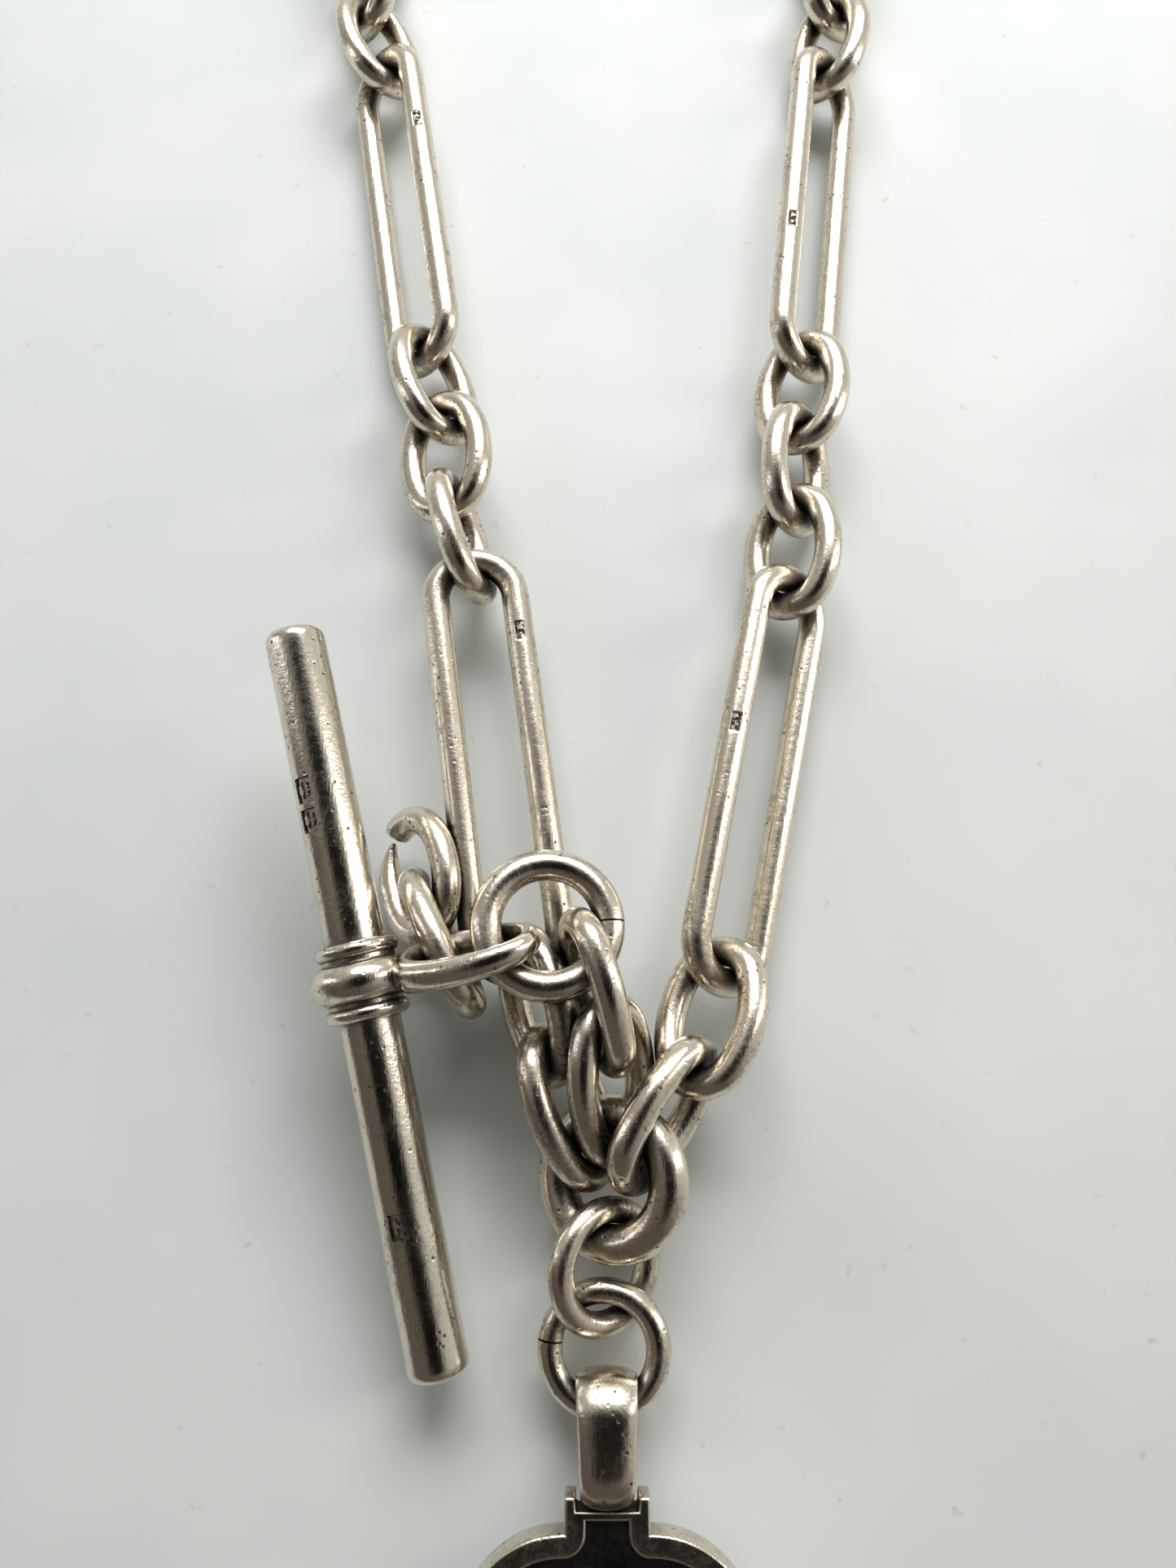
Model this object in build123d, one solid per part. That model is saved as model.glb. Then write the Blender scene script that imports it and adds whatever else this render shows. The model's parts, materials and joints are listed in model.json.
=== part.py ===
from build123d import *
import os
from math import asin, atan2, cos, degrees, hypot, pi, radians, sin
import numpy as np

# ---------------------------------------------------------------------------
# Driving dimensions, millimetres and degrees.  Every loop of the chain is bent
# from round silver wire; lengths and widths of loops are outside sizes.
# ---------------------------------------------------------------------------
LINK_WIRE = 1.86
SMALL_LENGTH = 10.3
SMALL_WIDTH = 7.2
LONG_LENGTH = 29.8
LONG_WIDTH = 7.2
END_BEND = 0.84            # end bend of a small link, as a share of half its width

CENTRE_RING_OUTSIDE = 9.6
CENTRE_RING_WIRE = 2.3
BAR_RING_OUTSIDE = 9.1
BAR_RING_WIRE = 1.85
UPPER_RING_OUTSIDE = 7.9     # the two rings that carry the fob
UPPER_RING_WIRE = 1.5
LOWER_RING_OUTSIDE = 7.7
LOWER_RING_WIRE = 1.45
RING_SEAM = 0.12           # open saw cut of an unsoldered jump ring

OPEN_LINK_LENGTH = 9.2
OPEN_LINK_WIDTH = 7.0
OPEN_LINK_WIRE = 1.8
OPEN_LINK_MOUTH = 1.1      # gap worn into the open link

BAR_DIAMETER = 3.7
BAR_UPPER_ARM = 22.0       # from the collar's middle to the upper end
BAR_LOWER_ARM = 22.7
BAR_END_ROUND = 0.7
COLLAR_RISE = 1.25         # how far the collar's middle rib and side ribs stand above the bar
COLLAR_SIDE_RISE = 0.65
COLLAR_SIDE_ROUND = 0.45   # radius of a side rib's edge
COLLAR_SLEEVE = 0.35       # wall of the sleeve between the ribs
COLLAR_LENGTH = 4.6
EYE_WIRE = 1.6
EYE_LENGTH = 9.4
EYE_WIDTH = 5.9
EYE_REACH = 11.5           # from the bar's axis to the outside of the eye
EYE_LEAN = 20.0
EYE_ROOT_GAP = 0.85        # the solder at the eye's root: its centre from the bar's skin, and radius
EYE_ROOT_RADIUS = 1.15

BAIL_LENGTH = 7.2
BAIL_DEPTH = 4.8
BAIL_WIDTH = 3.4
BAIL_METAL = 0.95
BAIL_ROUND = 0.4
BAIL_SEAT = 0.9            # how deep the bail's foot is let into the fob's neck
FOB_WIDTH = 17.0
FOB_LENGTH = 23.0
FOB_NECK = 4.7             # width of the neck the bail is let into, and its length to the shoulders
FOB_NECK_LENGTH = 1.8
SHOULDER_ROUND = 5.85      # radius of each shoulder, and the place of its centre from the middle
SHOULDER_PLACE = 2.5
FOB_RIM = 1.2
FOB_RIM_THICKNESS = 2.0
FOB_PLATE_THICKNESS = 1.1

SWIVEL_RING_OUTSIDE = 7.0
SWIVEL_RING_WIRE = 1.5
SHANK_DIAMETER = 1.7
SHANK_HEAD = 2.9
BARREL_DIAMETER = 5.2
BARREL_LENGTH = 5.4
BARREL_WALL = 1.3
SWIVEL_FIT = 0.15          # running clearance of the shank in the barrel
HOOK_WIRE = 2.2
HOOK_WIDTH = 8.8
HOOK_REACH = 11.5          # from the barrel's end to the outside of the hook
GATE_THICKNESS = 1.2
GATE_PIN = 0.9
PIN_FIT = 0.06
FORK_GAP = 2.2
FORK_CHEEK = 0.8
SPRING_WIRE = 0.28

WIRE_PLAY = 0.05           # between two wires that hang on each other
TABLE_PLAY = 0.02


# ---------------------------------------------------------------------------
# Centre lines of the loops, in a frame with the length along Y.
# ---------------------------------------------------------------------------
def arc_points(centre_x, centre_y, radius, start, stop, count):
    """Points on an arc; angles run clockwise from +Y."""
    angles = np.radians(np.linspace(start, stop, count, endpoint=False))
    x = centre_x + radius * np.sin(angles)
    y = centre_y + radius * np.cos(angles)
    return np.stack([x, y, 0 * x], axis=-1)


def small_link_shape(length, width, wire):
    """Bend radii of a four-centre oval: half lengths, end bend, side bend, angle where they meet."""
    half_length = (length - wire) / 2
    half_width = (width - wire) / 2
    end = END_BEND * half_width
    reach = half_length - end
    inset = half_width - end
    offset = (reach ** 2 - inset ** 2) / (2 * inset)
    return half_length, end, half_width + offset, degrees(atan2(offset, reach)), offset


def oval_line(length, width, wire):
    half_length, end, side, meet, offset = small_link_shape(length, width, wire)
    reach = half_length - end
    return np.concatenate([
        arc_points(0, reach, end, -meet, meet, 28),
        arc_points(-offset, 0, side, meet, 180 - meet, 22),
        arc_points(0, -reach, end, 180 - meet, 180 + meet, 28),
        arc_points(offset, 0, side, 180 + meet, 360 - meet, 22),
    ])


def long_line(length, width, wire):
    end = (width - wire) / 2
    reach = length / 2 - wire / 2 - end
    down = np.linspace(reach, -reach, 70, endpoint=False)
    rail = np.stack([0 * down + end, down, 0 * down], axis=-1)
    return np.concatenate([
        arc_points(0, reach, end, -90, 90, 32),
        rail,
        arc_points(0, -reach, end, 90, 270, 32),
        -rail,
    ])


def ring_line(outside, wire):
    return arc_points(0, 0, (outside - wire) / 2, 0, 360, 100)


# ---------------------------------------------------------------------------
# Laying the chain out on the table.
# ---------------------------------------------------------------------------
class Piece:
    """One rigid body while it is laid out: where it lies, and its wires as points on their centre lines."""

    def __init__(self, wires, near=(0, 0, 0), pivot=(0, 0, 0)):
        self.wires = wires
        self.near = np.array(near, float)
        self.pivot = np.array(pivot, float)
        self.turn = np.eye(3)
        self.centre = np.zeros(3)

    def aim(self, heading, climb, roll):
        """Length along the heading (90 is +Y), raised by climb; a positive roll lifts the right side."""
        heading, climb, roll = radians(heading), radians(climb), radians(roll)
        along = np.array([cos(heading) * cos(climb), sin(heading) * cos(climb), sin(climb)])
        level = np.array([sin(heading), -cos(heading), 0.0])
        side = level * cos(roll) + np.cross(level, along) * sin(roll)
        self.turn = np.stack([side, along, np.cross(side, along)], axis=-1)
        return self

    def at(self, local):
        return self.turn @ np.asarray(local, float) + self.centre

    def lines(self):
        return [(points @ self.turn.T + self.centre, radius) for points, radius in self.wires]

    def plane(self):
        return Plane(origin=tuple(self.centre), x_dir=tuple(self.turn[:, 0]), z_dir=tuple(self.turn[:, 2]))


def deepest(piece, others):
    """The largest shortfall of clearance, and the direction that relieves it."""
    worst, away = 0.0, None
    for line, radius in piece.lines():
        sunk = radius + TABLE_PLAY - line[:, 2].min()
        if sunk > worst:
            worst, away = sunk, np.array([0.0, 0.0, 1.0])
        for other_line, other_radius in others:
            need = radius + other_radius + WIRE_PLAY
            low, high = other_line.min(axis=0) - need, other_line.max(axis=0) + need
            close = line[((line > low) & (line < high)).all(axis=1)]
            if len(close) == 0:
                continue
            span = close[:, None, :] - other_line[None, :, :]
            distance = np.sqrt((span ** 2).sum(axis=-1))
            at = np.unravel_index(distance.argmin(), distance.shape)
            short = need - distance[at]
            if short > worst:
                worst, away = short, span[at] / distance[at]
    return worst, away


def settle(piece, others, pull, travel, step=0.05):
    """Draws a piece along a direction until it bears on what already lies there."""
    pull = np.array(pull, float) / np.linalg.norm(pull)
    low = piece.centre - 25
    high = piece.centre + 25
    others = [(line, radius) for line, radius in others if ((line > low) & (line < high)).all(axis=1).any()]
    for _ in range(int(travel / step)):
        before = piece.centre
        piece.centre = piece.centre + pull * step
        for _ in range(8):
            short, away = deepest(piece, others)
            if away is None:
                break
            piece.centre = piece.centre + away * (short + 0.001)
        if (piece.centre - before) @ pull < 0.002 and short < 0.01:
            break
    for _ in range(400):
        short, away = deepest(piece, others)
        if away is None:
            break
        piece.centre = piece.centre + away * (short + 0.002)
    return piece


placed = {}                # body name -> Piece, in the order they are laid
hinges = []                # (joint, parent body, child body)


def lay(name, piece, parent, hold, heading, climb, roll, sag=0.15, travel=2.6):
    """Threads a piece's near end on a point of its parent, aims it and draws it tight."""
    piece.aim(heading, climb, roll)
    piece.centre = np.zeros(3)
    along = piece.turn[:, 1]
    piece.centre = np.asarray(hold) - piece.at(piece.near)
    others = [line for other in placed.values() for line in other.lines()]
    settle(piece, others, along + np.array([0, 0, -sag]), travel)
    placed[name] = piece
    hinges.append((name + "_swing", parent, name))
    return piece


def small_link():
    half_length, end = small_link_shape(SMALL_LENGTH, SMALL_WIDTH, LINK_WIRE)[:2]
    near = (0, LINK_WIRE + WIRE_PLAY - half_length, 0)
    return Piece([(oval_line(SMALL_LENGTH, SMALL_WIDTH, LINK_WIRE), LINK_WIRE / 2)], near, (0, end - half_length, 0))


def long_link():
    half_length = (LONG_LENGTH - LINK_WIRE) / 2
    near = (0, LINK_WIRE + WIRE_PLAY - half_length, 0)
    pivot = (0, (LONG_WIDTH - LINK_WIRE) / 2 - half_length, 0)
    return Piece([(long_line(LONG_LENGTH, LONG_WIDTH, LINK_WIRE), LINK_WIRE / 2)], near, pivot)


def ring(outside, wire, held_wire, near_angle=180):
    """near_angle: where on the ring, clockwise from its far end, it hangs on its parent."""
    radius = (outside - wire) / 2
    hang = radius - (wire + held_wire) / 2 - WIRE_PLAY
    angle = radians(near_angle)
    return Piece([(ring_line(outside, wire), wire / 2)], (hang * sin(angle), hang * cos(angle), 0))


def on_ring(piece, outside, wire, angle):
    radius = (outside - wire) / 2
    return piece.at((radius * sin(radians(angle)), radius * cos(radians(angle)), 0))


def far_end(piece):
    return piece.at((0, piece.wires[0][0][:, 1].max(), 0))


# The centre ring lies almost flat, propped up by the links that pass under it.
centre = ring(CENTRE_RING_OUTSIDE, CENTRE_RING_WIRE, LINK_WIRE).aim(89, 6, 28)
centre.centre = np.array([0.0, 0.0, 3.5])
placed["centre_ring"] = centre


def place(name, piece, parent, offset, heading, climb, roll):
    """Lays a piece at a chosen place from the centre ring, in small link lengths, then eases it clear."""
    piece.aim(heading, climb, roll)
    piece.centre = centre.centre + np.array(offset) * SMALL_LENGTH
    others = [line for other in placed.values() for line in other.lines()]
    settle(piece, others, np.array([0, 0, -1.0]), 0.0)
    placed[name] = piece
    hinges.append((name + "_swing", parent, name))
    return piece


# (kind of link, heading, climb, roll), from the centre ring outwards
LEFT_RUN = [
    ("small", 113, 10, -54),
    ("small", 107, -5, 60),
    ("long", 98, 1, -4),
    ("small", 106, -1, -72),
    ("small", 96, -1, 24),
    ("small", 104, -4, -44),
    ("long", 99, 0, 42),
    ("small", 106, 0, -38),
    ("small", 93, 0, 46),
    ("small", 100, 0, -46),
    ("long", 96, 0, 42),
    ("small", 98, 0, -44),
    ("small", 92, 0, 45),
    ("small", 90, 0, -45),
]
RIGHT_RUN = [
    ("small", 56, -7, -61),
    ("small", 75, -10, 34),
    ("long", 78, -1, -38),
    ("small", 86, -1, 34),
    ("small", 83, -2, -48),
    ("small", 84, -2, 30),
    ("long", 83, 0, -44),
    ("small", 82, 0, 42),
    ("small", 86, 0, -36),
    ("small", 82, 0, 44),
    ("long", 84, 0, -42),
    ("small", 86, 0, 44),
    ("small", 88, 0, -45),
    ("small", 90, 0, 45),
]
LONG_LINKS = [number for number, link in enumerate(LEFT_RUN, 1) if link[0] == "long"]


def lay_run(side, run, first):
    for number, (kind, heading, climb, roll) in enumerate(run[first:], first + 1):
        parent = f"{side}_{run[number - 2][0]}_link_{number - 1}"
        piece = small_link() if kind == "small" else long_link()
        lay(f"{side}_{kind}_link_{number}", piece, parent, far_end(placed[parent]), heading, climb, roll)


place("left_small_link_1", small_link(), "centre_ring", (-0.25, 0.40, -0.04), *LEFT_RUN[0][1:])
place("right_small_link_1", small_link(), "centre_ring", (0.30, 0.35, 0.10), *RIGHT_RUN[0][1:])
place("dropper_link_1", small_link(), "centre_ring", (0.0, 0.54, 0.10), 94, 17, -49)
reach = (CENTRE_RING_OUTSIDE / 2 - CENTRE_RING_WIRE) / SMALL_LENGTH
place("fob_ring_upper", ring(UPPER_RING_OUTSIDE, UPPER_RING_WIRE, CENTRE_RING_WIRE), "centre_ring",
      (-0.04, -0.237 - reach, -0.07), 268, -11, 38)
lay_run("left", LEFT_RUN, 1)
lay_run("right", RIGHT_RUN, 1)

# The dropper rises over the chain to the ring that carries the bar.
place("dropper_link_2", small_link(), "dropper_link_1", (-0.09, 1.015, 0.283), 105, 16, 77)
bar_ring = ring(BAR_RING_OUTSIDE, BAR_RING_WIRE, LINK_WIRE)
place("bar_ring", bar_ring, "dropper_link_2", (-0.36, 1.38, 0.375), 103, -2, -5)


def bar_body():
    """The bar along Y, its collar round the origin, the eye reaching out along X."""
    rod = np.linspace(BAR_DIAMETER / 2 - BAR_LOWER_ARM, BAR_UPPER_ARM - BAR_DIAMETER / 2, 70)
    rod = np.stack([0 * rod, rod, 0 * rod], axis=-1)
    rib = arc_points(0, 0, BAR_DIAMETER / 2, 0, 360, 24)[:, [0, 2, 1]]
    oval = oval_line(EYE_LENGTH, EYE_WIDTH, EYE_WIRE)
    lean = radians(EYE_LEAN)
    eye = [oval[:, 1] + EYE_REACH - EYE_LENGTH / 2, -oval[:, 0] * sin(lean), oval[:, 0] * cos(lean)]
    eye = np.stack(eye, axis=-1)
    root = np.array([[BAR_DIAMETER / 2 + EYE_ROOT_GAP, 0.0, 0.0]])
    wires = [(eye, EYE_WIRE / 2), (rod, BAR_DIAMETER / 2), (rib, COLLAR_RISE), (root, EYE_ROOT_RADIUS)]
    inside = EYE_REACH - EYE_WIRE - BAR_RING_WIRE / 2 - WIRE_PLAY
    bend = small_link_shape(EYE_LENGTH, EYE_WIDTH, EYE_WIRE)[1]
    return Piece(wires, (inside, 0, 0), (EYE_REACH - EYE_WIRE / 2 - bend, 0, 0))


# The eye of the bar hooks over the left of its ring; the bar's lower end rests on the table.
bar = bar_body().aim(103, 8, 17)
bar.centre = np.zeros(3)
bar.centre = on_ring(bar_ring, BAR_RING_OUTSIDE, BAR_RING_WIRE, -97) - bar.at(bar.near)
others = [line for other in placed.values() for line in other.lines()]
settle(bar, others, -bar.turn[:, 0] + np.array([0, 0, -0.6]), 1.2)
placed["bar"] = bar
hinges.append(("bar_swing", "bar_ring", "bar"))

# Two spare links trail from the eye's lower arm down to the table.
place("eye_link", small_link(), "bar", (-1.0, 1.33, 0.03), 116, -10, 94)


def open_link():
    half = (OPEN_LINK_LENGTH - OPEN_LINK_WIRE) / 2
    end = small_link_shape(OPEN_LINK_LENGTH, OPEN_LINK_WIDTH, OPEN_LINK_WIRE)[1]
    near = (0, (OPEN_LINK_WIRE + LINK_WIRE) / 2 + WIRE_PLAY - half, 0)
    line = oval_line(OPEN_LINK_LENGTH, OPEN_LINK_WIDTH, OPEN_LINK_WIRE)
    return Piece([(line, OPEN_LINK_WIRE / 2)], near, (0, end - half, 0))


lay("open_link", open_link(), "eye_link", far_end(placed["eye_link"]), 106, -9, 42, sag=0.4, travel=1.5)

# Two rings and the fob lie the other way, towards -Y.
upper_ring = placed["fob_ring_upper"]
hold = on_ring(upper_ring, UPPER_RING_OUTSIDE, UPPER_RING_WIRE, 0)
lower_ring = ring(LOWER_RING_OUTSIDE, LOWER_RING_WIRE, UPPER_RING_WIRE)
lay("fob_ring_lower", lower_ring, "fob_ring_upper", hold, 272, -3, -6)


def fob_body():
    """The bail's band stands in the YZ plane; the fob lies in the XY plane beyond it."""
    half_length = (BAIL_LENGTH - BAIL_METAL) / 2
    half_depth = (BAIL_DEPTH - BAIL_METAL) / 2
    band = long_line(2 * half_length, 2 * half_depth, 0)[:, [2, 1, 0]]
    side = (BAIL_WIDTH - BAIL_METAL) / 2
    wires = [(band + np.array([x, 0, 0]), BAIL_METAL / 2) for x in (0, -side, side)]
    start = BAIL_LENGTH / 2 - BAIL_SEAT + FOB_RIM
    edge = np.linspace(start, start + FOB_LENGTH - 2, 12)
    for x in (-FOB_WIDTH / 4, FOB_WIDTH / 4):
        wires.append((np.stack([0 * edge + x, edge, 0 * edge], axis=-1), FOB_RIM_THICKNESS / 2))
    near = (0, BAIL_METAL + LOWER_RING_WIRE / 2 + WIRE_PLAY - BAIL_LENGTH / 2, 0)
    return Piece(wires, near, (0, half_depth - half_length, 0))


hold = on_ring(lower_ring, LOWER_RING_OUTSIDE, LOWER_RING_WIRE, 0)
lay("fob", fob_body(), "fob_ring_lower", hold, 270, -2, 0, sag=0.05)


def clip_body():
    """Swivel ring round the origin, then shank, barrel and hook along Y."""
    radius = (SWIVEL_RING_OUTSIDE - SWIVEL_RING_WIRE) / 2
    barrel = np.linspace(BARREL_START + 2, BARREL_START + BARREL_LENGTH, 8)
    barrel = np.stack([0 * barrel, barrel, 0 * barrel], axis=-1)
    hang = radius - (SWIVEL_RING_WIRE + LINK_WIRE) / 2 - WIRE_PLAY
    wires = [(ring_line(SWIVEL_RING_OUTSIDE, SWIVEL_RING_WIRE), SWIVEL_RING_WIRE / 2),
             (barrel, BARREL_DIAMETER / 2)]
    return Piece(wires, (0, -hang, 0))


BARREL_START = SWIVEL_RING_OUTSIDE / 2 + 0.4
last = len(LEFT_RUN)
lay("left_clip", clip_body(), f"left_small_link_{last}", far_end(placed[f"left_small_link_{last}"]), 94, 0, 30)
lay("right_clip", clip_body(), f"right_small_link_{last}", far_end(placed[f"right_small_link_{last}"]), 86, 0, -30)


# ---------------------------------------------------------------------------
# Solids, each built in the frame of the piece it belongs to.
# ---------------------------------------------------------------------------
def bend(x, y, radius, start, sweep, wire):
    """Round wire bent about (x, y), counter-clockwise from the start angle."""
    profile = Plane.XZ * Pos(radius, 0, 0) * Circle(wire / 2)
    return Pos(x, y, 0) * Rot(0, 0, start) * revolve(profile, Axis.Z, revolution_arc=sweep)


def oval_solid(length, width, wire):
    half_length, end, side, meet, offset = small_link_shape(length, width, wire)
    reach = half_length - end
    turn = 2 * meet
    loop = bend(0, reach, end, 90 - meet, turn, wire)
    loop += bend(0, -reach, end, 270 - meet, turn, wire)
    loop += bend(-offset, 0, side, meet - 90, 180 - turn, wire)
    loop += bend(offset, 0, side, meet + 90, 180 - turn, wire)
    return loop


def long_solid(length, width, wire):
    end = (width - wire) / 2
    reach = length / 2 - wire / 2 - end
    loop = bend(0, reach, end, 0, 180, wire) + bend(0, -reach, end, 180, 180, wire)
    for side in (-end, end):
        loop += Pos(side, 0, 0) * Rot(90, 0, 0) * Cylinder(wire / 2, 2 * reach)
    return loop


def ring_solid(outside, wire, seam):
    """A ring with a saw cut; seam is the cut's place, clockwise from the far end."""
    radius = (outside - wire) / 2
    cut = degrees(RING_SEAM / radius)
    return bend(0, 0, radius, 90 - seam + cut / 2, 360 - cut, wire)


def open_link_solid():
    """An oval with its far end worn open; the left arm is filed to a point."""
    length, width, wire = OPEN_LINK_LENGTH, OPEN_LINK_WIDTH, OPEN_LINK_WIRE
    half_length, end, side, meet, offset = small_link_shape(length, width, wire)
    reach = half_length - end
    mouth = degrees(OPEN_LINK_MOUTH / end)
    loop = bend(0, -reach, end, 270 - meet, 2 * meet, wire)
    loop += bend(-offset, 0, side, meet - 90, 180 - 2 * meet, wire)
    loop += bend(offset, 0, side, meet + 90, 180 - 2 * meet, wire)
    loop += bend(0, reach, end, 90 - meet, 2 * meet - mouth, wire)
    nose = Pos(0, reach, 0) * Rot(0, 0, 90 + meet - mouth) * Pos(end, 0, 0)
    file_cut = nose * Rot(0, 0, 38) * Pos(wire * 0.75, 0, 0) * Box(wire, 2 * wire, 2 * wire)
    return loop - file_cut


def rod_solid():
    length = BAR_UPPER_ARM + BAR_LOWER_ARM
    rod = Rot(-90, 0, 0) * Cylinder(BAR_DIAMETER / 2, length)
    rod = fillet(rod.edges().filter_by(GeomType.CIRCLE), BAR_END_ROUND)
    return Pos(0, (BAR_UPPER_ARM - BAR_LOWER_ARM) / 2, 0) * rod


def collar_solid():
    """One heavy rib between two thin ones on a sleeve, bored to the bar."""
    bar_radius = BAR_DIAMETER / 2
    sleeve = Cylinder(bar_radius + COLLAR_SLEEVE, COLLAR_LENGTH)
    sleeve += revolve(Plane.XZ * Pos(bar_radius, 0, 0) * Circle(COLLAR_RISE), Axis.Z)
    edge = bar_radius + COLLAR_SIDE_RISE - COLLAR_SIDE_ROUND
    for z in (-1, 1):
        height = z * (COLLAR_LENGTH / 2 - COLLAR_SIDE_ROUND)
        sleeve += revolve(Plane.XZ * Pos(edge, height, 0) * Circle(COLLAR_SIDE_ROUND), Axis.Z)
    sleeve -= Cylinder(bar_radius, 2 * COLLAR_LENGTH)
    return Rot(-90, 0, 0) * sleeve


def eye_solid(collar):
    """The oval eye, its root let into the collar and thickened with solder."""
    loop = oval_solid(EYE_LENGTH, EYE_WIDTH, EYE_WIRE)
    loop = Pos(EYE_REACH - EYE_LENGTH / 2, 0, 0) * Rot(EYE_LEAN, 0, 0) * Rot(90, 0, 0) * Rot(0, 0, -90) * loop
    root = Pos(BAR_DIAMETER / 2 + EYE_ROOT_GAP, 0, 0) * Sphere(EYE_ROOT_RADIUS)
    return loop + root - collar - Rot(-90, 0, 0) * Cylinder(BAR_DIAMETER / 2, 2 * COLLAR_LENGTH)


def fob_outline():
    """A plain lobed shield with a pointed foot, measured from its neck along +Y."""
    half = 0.44 * FOB_WIDTH
    middle = 0.5 * FOB_LENGTH
    curve = (middle ** 2 + half ** 2) / (2 * half)
    shield = Pos(half - curve, middle) * Circle(curve) & Pos(curve - half, middle) * Circle(curve)
    shoulder = FOB_NECK_LENGTH + SHOULDER_ROUND
    shield &= Pos(0, shoulder + FOB_LENGTH) * Rectangle(2 * FOB_WIDTH, 2 * FOB_LENGTH)
    shield += Pos(0, (shoulder + middle) / 2) * Rectangle(2 * half, middle - shoulder)
    for side in (-1, 1):
        shield += Pos(side * SHOULDER_PLACE, shoulder) * Circle(SHOULDER_ROUND)
    return shield + Pos(0, shoulder / 2) * Rectangle(FOB_NECK, shoulder)


def fob_solids():
    outline = fob_outline()
    inner = offset(outline, -FOB_RIM)
    rim = extrude(outline - inner, FOB_RIM_THICKNESS / 2, both=True)
    plate = extrude(inner, FOB_PLATE_THICKNESS / 2, both=True)
    start = Pos(0, BAIL_LENGTH / 2 - BAIL_SEAT, 0)
    outside = SlotOverall(BAIL_LENGTH, BAIL_DEPTH)
    band = outside - SlotOverall(BAIL_LENGTH - 2 * BAIL_METAL, BAIL_DEPTH - 2 * BAIL_METAL)
    band = extrude(band, BAIL_WIDTH / 2, both=True)
    sides = band.faces().filter_by(Axis.Z)
    band = fillet(sides.edges(), BAIL_ROUND)
    band = Rot(0, 90, 0) * Rot(0, 0, 90) * band
    rim = start * rim - Rot(0, 90, 0) * Rot(0, 0, 90) * extrude(outside, BAIL_WIDTH / 2, both=True)
    return band, start * plate, rim


def upright(diameter, start, stop):
    """A cylinder along Y."""
    return Pos(0, (start + stop) / 2, 0) * Rot(-90, 0, 0) * Cylinder(diameter / 2, stop - start)


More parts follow.
